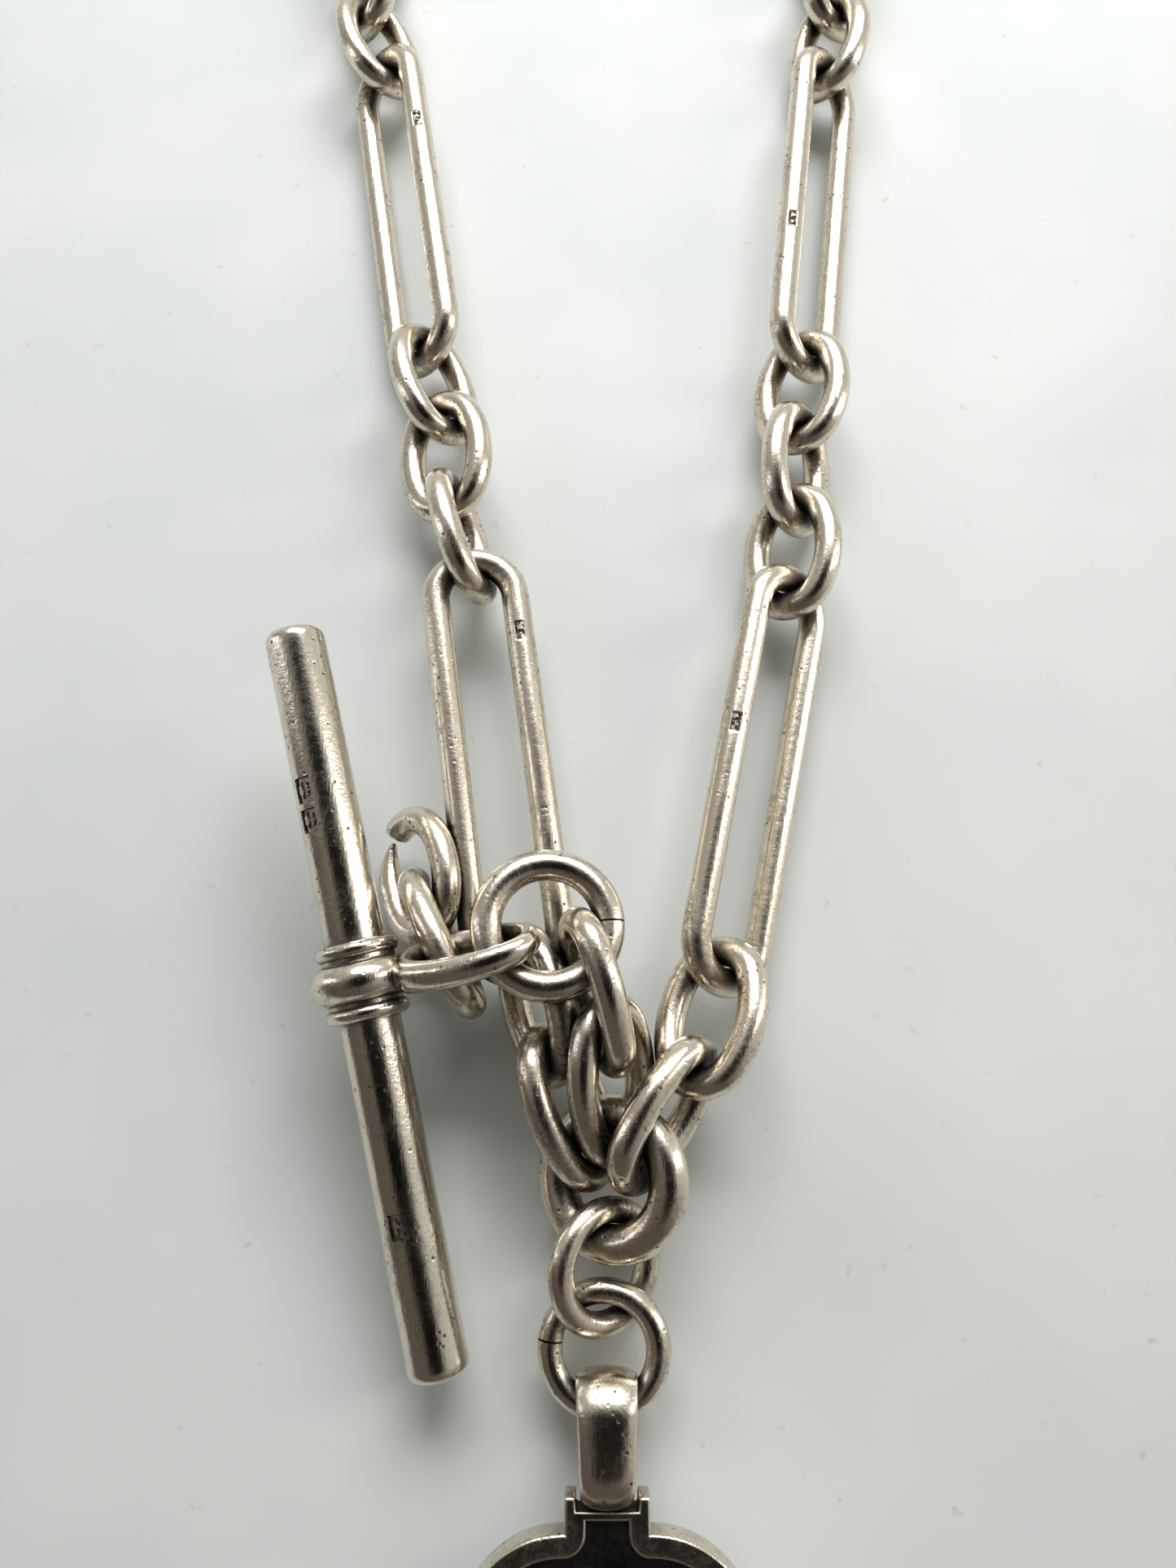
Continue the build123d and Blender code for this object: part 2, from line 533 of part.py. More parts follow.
def clip_solids():
    """Swivel shank with its ring, hook with its barrel, gate, gate pin and gate spring."""
    barrel_end = BARREL_START + BARREL_LENGTH
    hole = SHANK_DIAMETER + 2 * SWIVEL_FIT
    cavity = SHANK_HEAD + 2 * SWIVEL_FIT
    head_thickness = 1.0
    head_start = BARREL_START + BARREL_WALL + SWIVEL_FIT

    swivel = bend(0, 0, (SWIVEL_RING_OUTSIDE - SWIVEL_RING_WIRE) / 2, 0, 360, SWIVEL_RING_WIRE)
    shank_start = (SWIVEL_RING_OUTSIDE - SWIVEL_RING_WIRE) / 2
    swivel += upright(SHANK_DIAMETER, shank_start, head_start + head_thickness)
    swivel += upright(SHANK_HEAD, head_start, head_start + head_thickness)

    hook = chamfer(upright(BARREL_DIAMETER, BARREL_START, barrel_end).edges().filter_by(GeomType.CIRCLE), 0.5)
    hook -= upright(hole, BARREL_START - 1, head_start)
    hook -= upright(cavity, BARREL_START + BARREL_WALL, head_start + head_thickness + SWIVEL_FIT)

    # The hook's bow rises on the left and comes down to a nose on the right.
    bow = (HOOK_WIDTH - HOOK_WIRE) / 2
    bow_centre = barrel_end + HOOK_REACH - HOOK_WIDTH / 2
    nose = bow_centre - 1.2
    hook += bend(0, bow_centre, bow, 0, 180, HOOK_WIRE)
    hook += Pos(-bow, 0, 0) * upright(HOOK_WIRE, barrel_end + 0.6, bow_centre)
    hook += Pos(bow, 0, 0) * upright(HOOK_WIRE, nose, bow_centre)
    foot = Line((-bow, barrel_end + 1.2, 0), (-0.6, barrel_end - 0.8, 0))
    hook += sweep(Plane(foot @ 0, z_dir=foot % 0) * Circle(HOOK_WIRE / 2), foot)
    hook += Pos(-bow, barrel_end + 1.0, 0) * Sphere(HOOK_WIRE / 2)

    # Two cheeks on the barrel's end carry the pin that the gate turns on.
    pin_x = bow - 0.9
    pin_y = barrel_end + 1.0
    cheek = Pos(pin_x, pin_y, 0) * Cylinder(1.4, FORK_GAP + 2 * FORK_CHEEK)
    cheek += Pos(pin_x - 0.7, pin_y - 1.5, 0) * Box(2.1, 2.4, FORK_GAP + 2 * FORK_CHEEK)
    slot = Pos(pin_x, pin_y, 0) * Cylinder(1.75, FORK_GAP)
    slot += Pos(pin_x, pin_y + 1.5, 0) * Box(3.5, 3.0, FORK_GAP)
    pin_axis = Pos(pin_x, pin_y, 0)
    hook = hook + cheek - slot - pin_axis * Cylinder(GATE_PIN / 2, 20)
    pin = pin_axis * Cylinder(GATE_PIN / 2, FORK_GAP + 2 * FORK_CHEEK + 0.4)

    # The gate's flat eye shares the fork with the spring; its tip shuts against the inside of the nose.
    eye_z = -FORK_GAP / 2 + 0.1 + GATE_THICKNESS / 2
    gate = Pos(pin_x, pin_y, eye_z) * Cylinder(1.15, GATE_THICKNESS)
    tip_x = bow - HOOK_WIRE / 2 - 0.6
    tip_y = nose + 0.9
    run = hypot(tip_x - pin_x, tip_y - pin_y)
    lean = degrees(atan2(tip_x - pin_x, tip_y - pin_y))
    arm = Pos(0, run / 2, 0) * Box(0.9, run, GATE_THICKNESS)
    gate += Pos(pin_x, pin_y, eye_z) * Rot(0, 0, -lean) * arm
    gate -= pin_axis * Cylinder(GATE_PIN / 2 + PIN_FIT, 20)

    coils = 2
    room = FORK_GAP - GATE_THICKNESS - 0.3
    coil = Helix((room - SPRING_WIRE) / coils, room - SPRING_WIRE, GATE_PIN / 2 + 0.1 + SPRING_WIRE / 2)
    spring = sweep(Plane(coil @ 0, z_dir=coil % 0) * Circle(SPRING_WIRE / 2), coil)
    spring = Pos(pin_x, pin_y, FORK_GAP / 2 - room - 0.05 + SPRING_WIRE / 2) * spring
    return swivel, hook, gate, pin, spring


# ---------------------------------------------------------------------------
# Every node, placed; then the whole chain is set on z = 0 and centred.
# ---------------------------------------------------------------------------
SMALL_SOLID = oval_solid(SMALL_LENGTH, SMALL_WIDTH, LINK_WIRE)
LONG_SOLID = long_solid(LONG_LENGTH, LONG_WIDTH, LINK_WIRE)
nodes = {}                 # node name -> (body name, solid)


def add_node(node, body, solid):
    nodes[node] = (body, placed[body].plane().location * solid)


for name in placed:
    if "small_link" in name or name in ("dropper_link_1", "dropper_link_2", "eye_link"):
        add_node(name, name, SMALL_SOLID)
    elif "long_link" in name:
        add_node(name, name, LONG_SOLID)

add_node("centre_ring", "centre_ring", ring_solid(CENTRE_RING_OUTSIDE, CENTRE_RING_WIRE, 40))
add_node("bar_ring", "bar_ring", ring_solid(BAR_RING_OUTSIDE, BAR_RING_WIRE, 100))
add_node("fob_ring_upper", "fob_ring_upper", ring_solid(UPPER_RING_OUTSIDE, UPPER_RING_WIRE, -40))
add_node("fob_ring_lower", "fob_ring_lower", ring_solid(LOWER_RING_OUTSIDE, LOWER_RING_WIRE, 100))
add_node("open_link", "open_link", open_link_solid())
collar = collar_solid()
add_node("bar_rod", "bar", rod_solid())
add_node("bar_collar", "bar", collar)
add_node("bar_eye", "bar", eye_solid(collar))
bail, fob_plate, fob_rim = fob_solids()
add_node("fob_bail", "fob", bail)
add_node("fob_plate", "fob", fob_plate)
add_node("fob_rim", "fob", fob_rim)
for side in ("left", "right"):
    swivel, hook, gate, pin, spring = clip_solids()
    add_node(f"{side}_clip_swivel", f"{side}_clip", swivel)
    add_node(f"{side}_clip_hook", f"{side}_clip", hook)
    add_node(f"{side}_clip_gate", f"{side}_clip", gate)
    add_node(f"{side}_clip_gate_pin", f"{side}_clip", pin)
    add_node(f"{side}_clip_gate_spring", f"{side}_clip", spring)

boxes = [solid.bounding_box() for body, solid in nodes.values()]
low = [min(getattr(box.min, axis) for box in boxes) for axis in "XYZ"]
high = [max(getattr(box.max, axis) for box in boxes) for axis in "XYZ"]
SHIFT = (-(low[0] + high[0]) / 2, -(low[1] + high[1]) / 2, -low[2])

os.makedirs("parts", exist_ok=True)
for node, (body, solid) in nodes.items():
    solid = Pos(*SHIFT) * solid
    solid.label = node
    export_step(solid, f"parts/{node}.step")
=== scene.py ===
"""A silver pocket watch chain on a pale table: looks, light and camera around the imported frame."""
import json
import math

import bmesh
import bpy
import numpy as np
from mathutils import Matrix, Vector, noise


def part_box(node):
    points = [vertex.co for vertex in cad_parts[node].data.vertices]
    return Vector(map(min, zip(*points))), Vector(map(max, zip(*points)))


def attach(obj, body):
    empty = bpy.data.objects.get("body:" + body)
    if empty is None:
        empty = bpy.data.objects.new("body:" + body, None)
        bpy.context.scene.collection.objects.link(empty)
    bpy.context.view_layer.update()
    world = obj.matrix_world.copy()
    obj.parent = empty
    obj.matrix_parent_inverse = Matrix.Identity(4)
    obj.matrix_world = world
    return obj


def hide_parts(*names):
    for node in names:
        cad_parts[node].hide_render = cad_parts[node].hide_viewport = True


MM = 0.001
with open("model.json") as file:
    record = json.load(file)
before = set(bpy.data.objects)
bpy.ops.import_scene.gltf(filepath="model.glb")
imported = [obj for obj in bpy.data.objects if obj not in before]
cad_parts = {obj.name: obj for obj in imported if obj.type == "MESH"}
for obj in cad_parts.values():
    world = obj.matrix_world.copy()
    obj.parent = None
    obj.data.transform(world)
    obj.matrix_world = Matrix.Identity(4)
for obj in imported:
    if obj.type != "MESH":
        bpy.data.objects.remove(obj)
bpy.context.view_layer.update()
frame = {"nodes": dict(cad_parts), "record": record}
nodes = frame["nodes"]
record = frame["record"]
owner = {node: body for body, kept in record["behaviour"]["bodies"].items() for node in kept}


# ---------------------------------------------------------------------------
# Finishes
# ---------------------------------------------------------------------------
def from_hex(code, alpha=1.0):
    """An sRGB hex colour as linear light."""
    parts = [int(code[i:i + 2], 16) / 255 for i in (0, 2, 4)]
    linear = [c / 12.92 if c <= 0.04045 else ((c + 0.055) / 1.055) ** 2.4 for c in parts]
    return (*linear, alpha)


def add(tree, kind, settings=None, inputs=None):
    """Adds one node; an input is given a value or another node's socket."""
    node = tree.nodes.new(kind)
    for key, value in (settings or {}).items():
        setattr(node, key, value)
    for key, value in (inputs or {}).items():
        if isinstance(value, bpy.types.NodeSocket):
            tree.links.new(value, node.inputs[key])
        else:
            node.inputs[key].default_value = value
    return node


def ramp(tree, source, low, high, dark=0.0, light=1.0):
    """Spreads a grey value between two limits."""
    spread = add(tree, "ShaderNodeMapRange", {"clamp": True}, {
        "Value": source, "From Min": low, "From Max": high, "To Min": dark, "To Max": light})
    return spread.outputs["Result"]


def blank(name):
    material = bpy.data.materials.new(name)
    material.use_nodes = True
    material.node_tree.nodes.clear()
    return material, material.node_tree


def stamp_mask(tree, place, stamp):
    """1 inside a small struck rectangle. A stamp is (centre, along, across, length, width)."""
    centre, along, across, length, width = stamp
    offset = add(tree, "ShaderNodeVectorMath", {"operation": "SUBTRACT"}, {
        0: place, 1: centre}).outputs["Vector"]
    sides = []
    for direction, size in ((along, length), (across, width)):
        reach = add(tree, "ShaderNodeVectorMath", {"operation": "DOT_PRODUCT"}, {
            0: offset, 1: direction}).outputs["Value"]
        reach = add(tree, "ShaderNodeMath", {"operation": "ABSOLUTE"}, {0: reach}).outputs[0]
        sides.append(ramp(tree, reach, size * 0.38, size * 0.5, 1.0, 0.0))
    return add(tree, "ShaderNodeMath", {"operation": "MULTIPLY"}, {0: sides[0], 1: sides[1]}).outputs[0]


def worn_silver(name, bright, deep, tarnish, haze, dent, stamp=None):
    """Sterling silver, polished once and worn: soft dents, hairlines, and sulphide left in pits and joints,
    with shade painted darker wherever other metal or the table lies close.

    bright and deep are the polished and the sulphide colour, deep standing for the painted shade as well;
    tarnish is the share of stain between them, haze the roughness of the polish, dent the height of the
    softest unevenness, and stamp a struck rectangle.
    """
    material, tree = blank(name)
    place = add(tree, "ShaderNodeTexCoord").outputs["Object"]
    cloud = add(tree, "ShaderNodeTexNoise", inputs={
        "Vector": place, "Scale": 1 / (2.6 * MM), "Detail": 4.0, "Roughness": 0.6})
    grain = add(tree, "ShaderNodeTexNoise", inputs={
        "Vector": place, "Scale": 1 / (0.36 * MM), "Detail": 3.0, "Roughness": 0.75})
    pits = add(tree, "ShaderNodeTexVoronoi", inputs={
        "Vector": place, "Scale": 1 / (0.60 * MM), "Randomness": 1.0})
    pit_choice = add(tree, "ShaderNodeTexNoise", inputs={
        "Vector": place, "Scale": 1 / (1.9 * MM), "Detail": 1.0})
    # hairlines are a few hundredths of a millimetre wide; drawn twice that so that they show
    stretch = add(tree, "ShaderNodeMapping", inputs={
        "Vector": place, "Rotation": (0.4, 0.2, 0.7), "Scale": (1.0, 0.06, 0.5)})
    lines = add(tree, "ShaderNodeTexNoise", inputs={
        "Vector": stretch.outputs["Vector"], "Scale": 1 / (0.11 * MM), "Detail": 2.0, "Roughness": 0.5})
    # ambient occlusion paints shade into the colour: sulphide in the joints, and painted shade under the
    # links and where they lie on each other or near the table
    near = add(tree, "ShaderNodeAmbientOcclusion", {"samples": 8, "only_local": False}, {
        "Distance": 1.3 * MM})

    pit_shape = ramp(tree, pits.outputs["Distance"], 0.06, 0.24, 1.0, 0.0)
    pit_here = ramp(tree, pit_choice.outputs["Fac"], 0.47, 0.55)
    pit = add(tree, "ShaderNodeMath", {"operation": "MULTIPLY"}, {0: pit_shape, 1: pit_here}).outputs[0]
    joint_sulphide_and_shade = ramp(tree, near.outputs["AO"], 0.30, 0.92, 0.95, 0.0)
    patch = ramp(tree, cloud.outputs["Fac"], 0.42, 0.72)
    stain = add(tree, "ShaderNodeMath", {"operation": "MULTIPLY"}, {
        0: patch, 1: ramp(tree, grain.outputs["Fac"], 0.46, 0.56)}).outputs[0]
    # stain patches, plus the occlusion's joint sulphide and painted shade, make the dark share of the colour
    dirt_and_shade = add(tree, "ShaderNodeMath", {"operation": "MULTIPLY_ADD", "use_clamp": True}, {
        0: stain, 1: tarnish, 2: joint_sulphide_and_shade}).outputs[0]
    dirt_and_shade = add(tree, "ShaderNodeMath", {"operation": "MAXIMUM"}, {0: dirt_and_shade, 1: pit}).outputs[0]
    if stamp:
        struck = stamp_mask(tree, place, stamp)
        blot = add(tree, "ShaderNodeMath", {"operation": "MULTIPLY"}, {
            0: struck, 1: ramp(tree, grain.outputs["Fac"], 0.40, 0.50, 0.35, 1.0)}).outputs[0]
        dirt_and_shade = add(tree, "ShaderNodeMath", {"operation": "MAXIMUM"}, {0: dirt_and_shade, 1: blot}).outputs[0]
    colour = add(tree, "ShaderNodeMix", {"data_type": "RGBA"}, {
        "Factor": dirt_and_shade, "A": from_hex(bright), "B": from_hex(deep)}).outputs["Result"]

    rub = add(tree, "ShaderNodeMath", {"operation": "MULTIPLY_ADD"}, {
        0: cloud.outputs["Fac"], 1: 0.20, 2: haze}).outputs[0]
    rough = add(tree, "ShaderNodeMath", {"operation": "MULTIPLY_ADD", "use_clamp": True}, {
        0: dirt_and_shade, 1: 0.3, 2: rub}).outputs[0]

    height = add(tree, "ShaderNodeMath", {"operation": "MULTIPLY_ADD"}, {
        0: cloud.outputs["Fac"], 1: dent,
        2: ramp(tree, grain.outputs["Fac"], 0.3, 0.7, 0.0, 0.22)}).outputs[0]
    height = add(tree, "ShaderNodeMath", {"operation": "MULTIPLY_ADD"}, {
        0: ramp(tree, lines.outputs["Fac"], 0.55, 0.75), 1: -0.12, 2: height}).outputs[0]
    height = add(tree, "ShaderNodeMath", {"operation": "MULTIPLY_ADD"}, {
        0: pit, 1: -0.5, 2: height}).outputs[0]
    if stamp:
        height = add(tree, "ShaderNodeMath", {"operation": "MULTIPLY_ADD"}, {
            0: struck, 1: -1.6, 2: height}).outputs[0]
    relief = add(tree, "ShaderNodeBump", inputs={"Strength": 0.55, "Distance": 0.06 * MM, "Height": height})
    metal = add(tree, "ShaderNodeBsdfPrincipled", inputs={
        "Base Color": colour, "Metallic": 1.0, "Roughness": rough, "Normal": relief.outputs["Normal"]})
    add(tree, "ShaderNodeOutputMaterial", inputs={"Surface": metal.outputs["BSDF"]})
    return material


POLISH = "ddd3c1"          # warm white of rubbed sterling
SULPHIDE_AND_SHADE = "2c2721"        # brown-black left where a cloth can't reach, and the colour of the painted shade where other metal or the table lies close
LINK_SILVER = worn_silver("worn_link_silver", POLISH, SULPHIDE_AND_SHADE, 0.55, 0.09, 0.8)
BAR_SILVER = worn_silver("worn_bar_silver", "e0d7c7", SULPHIDE_AND_SHADE, 0.45, 0.06, 0.7)
FOB_SILVER = worn_silver("worn_fob_silver", POLISH, SULPHIDE_AND_SHADE, 0.35, 0.10, 0.6)
PLATE_SILVER = worn_silver("darkened_fob_plate", "6f6d6c", "2c2a28", 0.35, 0.14, 0.4)
CLIP_SILVER = worn_silver("worn_clip_silver", POLISH, SULPHIDE_AND_SHADE, 0.40, 0.14, 0.6)
SPRING_STEEL = worn_silver("drawn_spring_steel", "9a9a9c", "3a342c", 0.2, 0.22, 0.2)
FINISH = {
    "link_silver": LINK_SILVER, "bar_silver": BAR_SILVER, "fob_silver": FOB_SILVER,
    "fob_plate_silver": PLATE_SILVER, "clip_silver": CLIP_SILVER, "spring_steel": SPRING_STEEL}
slot_of = {part["node"]: part["material_slot"] for part in record["subparts"]}


def dress(piece, material):
    piece.data.materials.clear()
    piece.data.materials.append(material)


for node, piece in nodes.items():
    dress(piece, FINISH[slot_of[node]])
    weld = piece.modifiers.new("weld", "WELD")
    weld.merge_threshold = 0.001 * MM
    piece.modifiers.new("edges", "EDGE_SPLIT").split_angle = math.radians(35)
    for face in piece.data.polygons:
        face.use_smooth = True


# ---------------------------------------------------------------------------
# Where the bar and the fob lie
# ---------------------------------------------------------------------------
def middle(node):
    low, high = (Vector(corner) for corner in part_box(node))
    return (low + high) / 2


def frame_of(origin, side, along):
    """A matrix whose X is near side, whose Y is along and whose Z is up from the piece."""
    along = along.normalized()
    up = side.cross(along).normalized()
    side = along.cross(up)
    return Matrix.Translation(origin) @ Matrix((side, along, up)).transposed().to_4x4()


mounts = {mount["name"]: mount for mount in record["mounts"]}
joints = {joint["name"]: joint for joint in record["behaviour"]["joints"]}
bar_up = -Vector(mounts["bar_lower_arm"]["axis"])
collar_centre = middle("bar_collar")
BAR_FRAME = frame_of(collar_centre, middle("bar_eye") - collar_centre, bar_up)
fob_side = Vector(joints["fob_joint"]["axis"])
fob_along = middle("fob_plate") - middle("fob_bail")
if fob_side.cross(fob_along).z < 0:
    fob_side = -fob_side
BAIL_FRAME = frame_of(middle("fob_bail"), fob_side, fob_along)


def principal(node):
    """Centre, long direction and side direction of a link, from how its metal is spread."""
    world = nodes[node].matrix_world
    points = np.array([vertex.co for vertex in nodes[node].data.vertices])
    points = points @ np.array(world.to_3x3()).T + np.array(world.translation)
    axes = np.linalg.eigh(np.cov((points - points.mean(axis=0)).T))[1]
    along = Vector(axes[:, 2])
    side = Vector(axes[:, 1])
    along = along if along.y > 0 else -along
    side = side if side.x > 0 else -side
    return middle(node), along, side


# ---------------------------------------------------------------------------
# New meshes
# ---------------------------------------------------------------------------
def keep(shape, name, node, material):
    """Finishes a mesh, lets it stand for a CAD node and ride on that node's body."""
    bmesh.ops.recalc_face_normals(shape, faces=shape.faces)
    for face in shape.faces:
        face.smooth = True
    mesh = bpy.data.meshes.new(name)
    shape.to_mesh(mesh)
    shape.free()
    piece = bpy.data.objects.new(name, mesh)
    bpy.context.collection.objects.link(piece)
    dress(piece, material)
    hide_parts(node)
    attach(piece, owner[node])
    return piece


def swept(stations, place, closed=True, segments=24):
    """Ovals joined along a path, closed on itself or capped at its ends.

    A station is (centre, outward, half width, half thickness) in the piece's frame.
    """
    shape = bmesh.new()
    rings = []
    count = len(stations)
    for index, (centre, outward, half_width, half_thickness) in enumerate(stations):
        after = (index + 1) % count if closed else min(index + 1, count - 1)
        before = index - 1 if closed else max(index - 1, 0)
        ahead = (stations[after][0] - stations[before][0]).normalized()
        is_end = not closed and index in (0, count - 1)
        across = ahead.cross(outward).normalized()
        out = across.cross(ahead)
        turn = Matrix((across * half_width, out * half_thickness, ahead)).transposed().to_4x4()
        made = bmesh.ops.create_circle(
            shape, segments=segments, radius=1.0, cap_ends=is_end,
            matrix=place @ Matrix.Translation(centre) @ turn)
        rings.append(list(dict.fromkeys(edge for vertex in made["verts"] for edge in vertex.link_edges)))
    for index in range(count if closed else count - 1):
        bmesh.ops.bridge_loops(shape, edges=rings[index] + rings[(index + 1) % count])
    return shape


BAIL_LENGTH = 7.2 * MM
BAIL_DEPTH = 4.8 * MM
BAIL_WIDTH = 3.5 * MM
BAIL_METAL = 1.0 * MM
BAIL_SLIMMING = 0.09       # share of its width the band loses from its middle to its foot
BEND_STEPS = 24
SIDE_STEPS = 5


def bail():
    """A domed band bent into a loop, a little narrower at its foot."""
    bend = (BAIL_DEPTH - BAIL_METAL) / 2
    straight = (BAIL_LENGTH - BAIL_METAL) / 2 - bend
    stations = []

    def station(centre, out):
        slim = 1.0 - BAIL_SLIMMING * (centre.y / (bend + straight) + 1)
        stations.append((centre, out, BAIL_WIDTH / 2 * slim, BAIL_METAL / 2))
    for end, start in ((1, 0.0), (-1, math.pi)):
        for step in range(BEND_STEPS):
            angle = start + math.pi * step / BEND_STEPS
            out = Vector((0, math.sin(angle), math.cos(angle)))
            station(out * bend + Vector((0, end * straight, 0)), out)
        for step in range(1, SIDE_STEPS):
            out = Vector((0, 0, -end))
            station(out * bend + Vector((0, end * straight * (1 - 2 * step / SIDE_STEPS), 0)), out)
    keep(swept(stations, BAIL_FRAME), "domed_bail", "fob_bail", FOB_SILVER)


BAR_DIAMETER = 3.7 * MM
BAR_UPPER_ARM = 22.0 * MM
BAR_LOWER_ARM = 22.7 * MM
BAR_EDGE = 0.75 * MM
EYE_LENGTH = 9.4 * MM
EYE_WIDTH = 5.9 * MM
EYE_REACH = 11.5 * MM
EYE_WIRE = 1.6 * MM
EYE_LEAN = math.radians(20)
EYE_STEPS = 72
EYE_TIP = (0.92, 0.72)     # width and thickness of the wire at the eye's tip, as shares of EYE_WIRE
EYE_SWELL = (0.36, 0.42)   # what each of them gains on the way to the root
ROW = 0.13 * MM            # spacing of the rod's rows of faces where it is struck
ROD_SIDES = 96
# where each strike starts and stops along the bar, and its turn round the bar from the top, in degrees
STRIKES_ON_BAR = ((9.2 * MM, 10.6 * MM, -18), (11.0 * MM, 12.5 * MM, -18), (-14.6 * MM, -13.2 * MM, 4))
STRIKE_HALF_WIDTH = 0.62 * MM
STRIKE_DEPTH = 0.17 * MM
DEVICE_HEIGHT = 0.10 * MM
DEVICE_LIMB = 0.22 * MM    # the two raised limbs stand this far either side of the strike's middle
WEAR = 0.03                # share of the radius lost where the bar is worn most
WEAR_PATCH = 4.5 * MM


def lift(faces, height):
    """Moves the corners of some faces straight out from the bar's axis."""
    for vertex in {vertex for face in faces for vertex in face.verts}:
        vertex.co += Vector((vertex.co.x, 0, vertex.co.z)).normalized() * height


def pull_up(shape, chosen, height):
    """Extrudes faces of the rod out by a height, or in if it is negative, and gives back the moved faces."""
    made = bmesh.ops.extrude_face_region(shape, geom=chosen)["geom"]
    bmesh.ops.delete(shape, geom=chosen, context="FACES")
    moved = [item for item in made if isinstance(item, bmesh.types.BMFace)]
    lift(moved, height)
    return moved


def rod_rows():
    """(place along the bar, radius) from the upper end to the lower one, with both edges rounded."""
    radius = BAR_DIAMETER / 2
    turns = np.linspace(0, math.pi / 2, 8)
    rows = [(BAR_UPPER_ARM - BAR_EDGE * (1 - math.sin(a)), radius - BAR_EDGE * (1 - math.cos(a)))
            for a in turns[::-1]]
    foot = BAR_EDGE - BAR_LOWER_ARM
    margin = 0.5 * MM
    y = BAR_UPPER_ARM - BAR_EDGE
    while y > foot + ROW:
        fine = any(low - margin < y < high + margin for low, high, _ in STRIKES_ON_BAR)
        y -= ROW if fine else 4 * ROW
        rows.append((max(y, foot), radius))
    rows += [(-BAR_LOWER_ARM + BAR_EDGE * (1 - math.sin(a)), radius - BAR_EDGE * (1 - math.cos(a)))
             for a in turns[1:]]
    return rows


def struck_rod():
    """The bar with its rounded ends and three worn strikes, which carry only a plain raised device."""
    radius = BAR_DIAMETER / 2
    shape = bmesh.new()
    points = [shape.verts.new((0, BAR_UPPER_ARM, 0))]
    points += [shape.verts.new((0, y, r)) for y, r in rod_rows()]
    points.append(shape.verts.new((0, -BAR_LOWER_ARM, 0)))
    edges = [shape.edges.new(pair) for pair in zip(points, points[1:])]
    bmesh.ops.spin(shape, geom=points + edges, cent=(0, 0, 0), axis=(0, 1, 0), angle=2 * math.pi,
                   steps=ROD_SIDES, use_merge=True, use_duplicate=False)
    bmesh.ops.remove_doubles(shape, verts=shape.verts, dist=0.002 * MM)
    for low, high, turn in STRIKES_ON_BAR:

        def spot(face):
            """How far a face lies from the strike's middle, round the bar and along it."""
            where = face.calc_center_median()
            angle = math.atan2(where.x, where.z) - math.radians(turn)
            return math.remainder(angle, 2 * math.pi) * radius, where.y - (low + high) / 2

        def in_device(face):
            across, along = map(abs, spot(face))
            return abs(across - DEVICE_LIMB) + 0.35 * along < 0.2 * MM
        chosen = [face for face in shape.faces
                  if abs(spot(face)[0]) < STRIKE_HALF_WIDTH and abs(spot(face)[1]) < (high - low) / 2]
        floor = pull_up(shape, chosen, -STRIKE_DEPTH)
        pull_up(shape, [face for face in floor if in_device(face)], DEVICE_HEIGHT)
    for vertex in shape.verts:
        hollow = 0.5 + 0.5 * noise.noise(vertex.co / WEAR_PATCH)
        vertex.co.x *= 1 - WEAR * hollow
        vertex.co.z *= 1 - WEAR * hollow
    bmesh.ops.transform(shape, matrix=BAR_FRAME, verts=shape.verts)
    piece = keep(shape, "struck_bar", "bar_rod", BAR_SILVER)
    piece.modifiers.new("edges", "EDGE_SPLIT").split_angle = math.radians(50)


def tapered_eye():
    """The eye of the bar: heavy where it leaves the collar, hammered thinner and flatter at its tip."""
    half_length = (EYE_LENGTH - EYE_WIRE) / 2
    half_width = (EYE_WIDTH - EYE_WIRE) / 2
    wide = Vector((0, -math.sin(EYE_LEAN), math.cos(EYE_LEAN)))
    stations = []
    for step in range(EYE_STEPS):
        angle = 2 * math.pi * step / EYE_STEPS
        reach = math.cos(angle)
        spread = math.copysign(abs(math.sin(angle)) ** 0.9, math.sin(angle))
        centre = Vector((EYE_REACH - EYE_LENGTH / 2 + half_length * reach, 0, 0)) + wide * half_width * spread
        out = Vector((math.cos(angle) / half_length, 0, 0)) + wide * spread / half_width
        heavy = 0.5 - 0.5 * reach
        width, thickness = (tip + swell * heavy for tip, swell in zip(EYE_TIP, EYE_SWELL))
        stations.append((centre, out.normalized(), EYE_WIRE / 2 * width, EYE_WIRE / 2 * thickness))
    keep(swept(stations, BAR_FRAME), "tapered_eye", "bar_eye", BAR_SILVER)


OPEN_LINK_LENGTH = 9.2 * MM
OPEN_LINK_WIDTH = 7.0 * MM
OPEN_LINK_WIRE = 1.8 * MM
MOUTH = (-24, -37)         # degrees clockwise from the far end: the right limb's cut, the left one's point
TAPER = 52                 # degrees over which the left limb is drawn out
TIP = 0.14                 # its point's width, as a share of the wire
LINK_STEPS = 90


